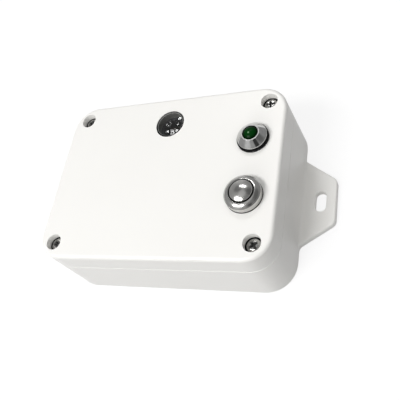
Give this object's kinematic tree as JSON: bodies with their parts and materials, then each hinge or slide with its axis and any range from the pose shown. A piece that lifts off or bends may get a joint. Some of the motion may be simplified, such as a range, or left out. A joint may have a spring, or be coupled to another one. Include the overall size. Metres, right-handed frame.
{
  "type": "wireless light sensor",
  "caption": "Wall-mount wireless light sensor: rounded plastic enclosure with slotted ears, sensor window, green LED in a chrome bezel and a domed steel push button.",
  "frame": {"origin": "centre of the back face, which lies on the wall", "axes": "+Z leaves the lid, +X runs along the box towards the ear at the LED and button end, +Y points to the long side that the window is near"},
  "size_m": [0.13, 0.0758, 0.0377],
  "materials": {
    "enclosure": "satin",
    "black_rubber": "matte",
    "window_black": "gloss",
    "window_glass": "polished",
    "screw_steel": "zinc plated",
    "insert_brass": "turned",
    "cup_black": "matte",
    "sensor_package": "gloss",
    "led_green": "gloss",
    "chrome": "polished",
    "stainless": "polished",
    "nickel": "nickel plated",
    "contact_brass": "plated",
    "spring_steel": "nickel plated",
    "tinned": "tinned",
    "circuit_board": "satin",
    "chip_black": "matte",
    "ceramic": "matte",
    "connector_white": "matte",
    "cell_wrap": "satin wrap",
    "lead_red": "satin",
    "lead_black": "satin",
    "lead_grey": "satin"
  },
  "bodies": {
    "housing": {"base_shell": "enclosure", "lid": "enclosure", "lid_gasket": "black_rubber", "led_washer": "black_rubber", "button_gasket": "black_rubber", "screw_seals": "black_rubber", "window_gasket": "window_black", "window_lens": "window_glass", "lid_screws": "screw_steel", "sensor_board_screws": "screw_steel", "board_screws": "screw_steel", "brass_inserts": "insert_brass", "sensor_cup": "cup_black", "button_contact_base": "cup_black", "battery_holder": "cup_black", "light_sensor": "sensor_package", "led_lens": "led_green", "led_bezel": "chrome", "button_bezel": "stainless", "led_nut": "nickel", "led_lock_washer": "nickel", "button_nut": "nickel", "button_lock_washer": "nickel", "antenna": "contact_brass", "button_spring": "spring_steel", "battery_springs": "spring_steel", "battery_plates": "spring_steel", "radio_shield": "tinned", "crystal": "tinned", "led_pins": "tinned", "button_terminals": "tinned", "main_board": "circuit_board", "radio_board": "circuit_board", "sensor_board": "circuit_board", "microcontroller": "chip_black", "board_passives": "ceramic", "board_connectors": "connector_white", "lead_plugs": "connector_white", "battery_1": "cell_wrap", "battery_2": "cell_wrap", "battery_lead_red": "lead_red", "battery_lead_black": "lead_black", "led_leads": "lead_grey", "button_leads": "lead_grey", "sensor_leads": "lead_grey"},
    "button": {"button_cap": "stainless", "button_contact_disc": "contact_brass"}
  },
  "joints": [
    {"name": "button_press", "type": "slide", "parent": "housing", "child": "button", "axis": [0, 0, -1], "range_m": [0, 0.0012], "stiffness_N_per_m": 600, "springref_m": -0.003, "deforming": ["button_spring"]}
  ]
}
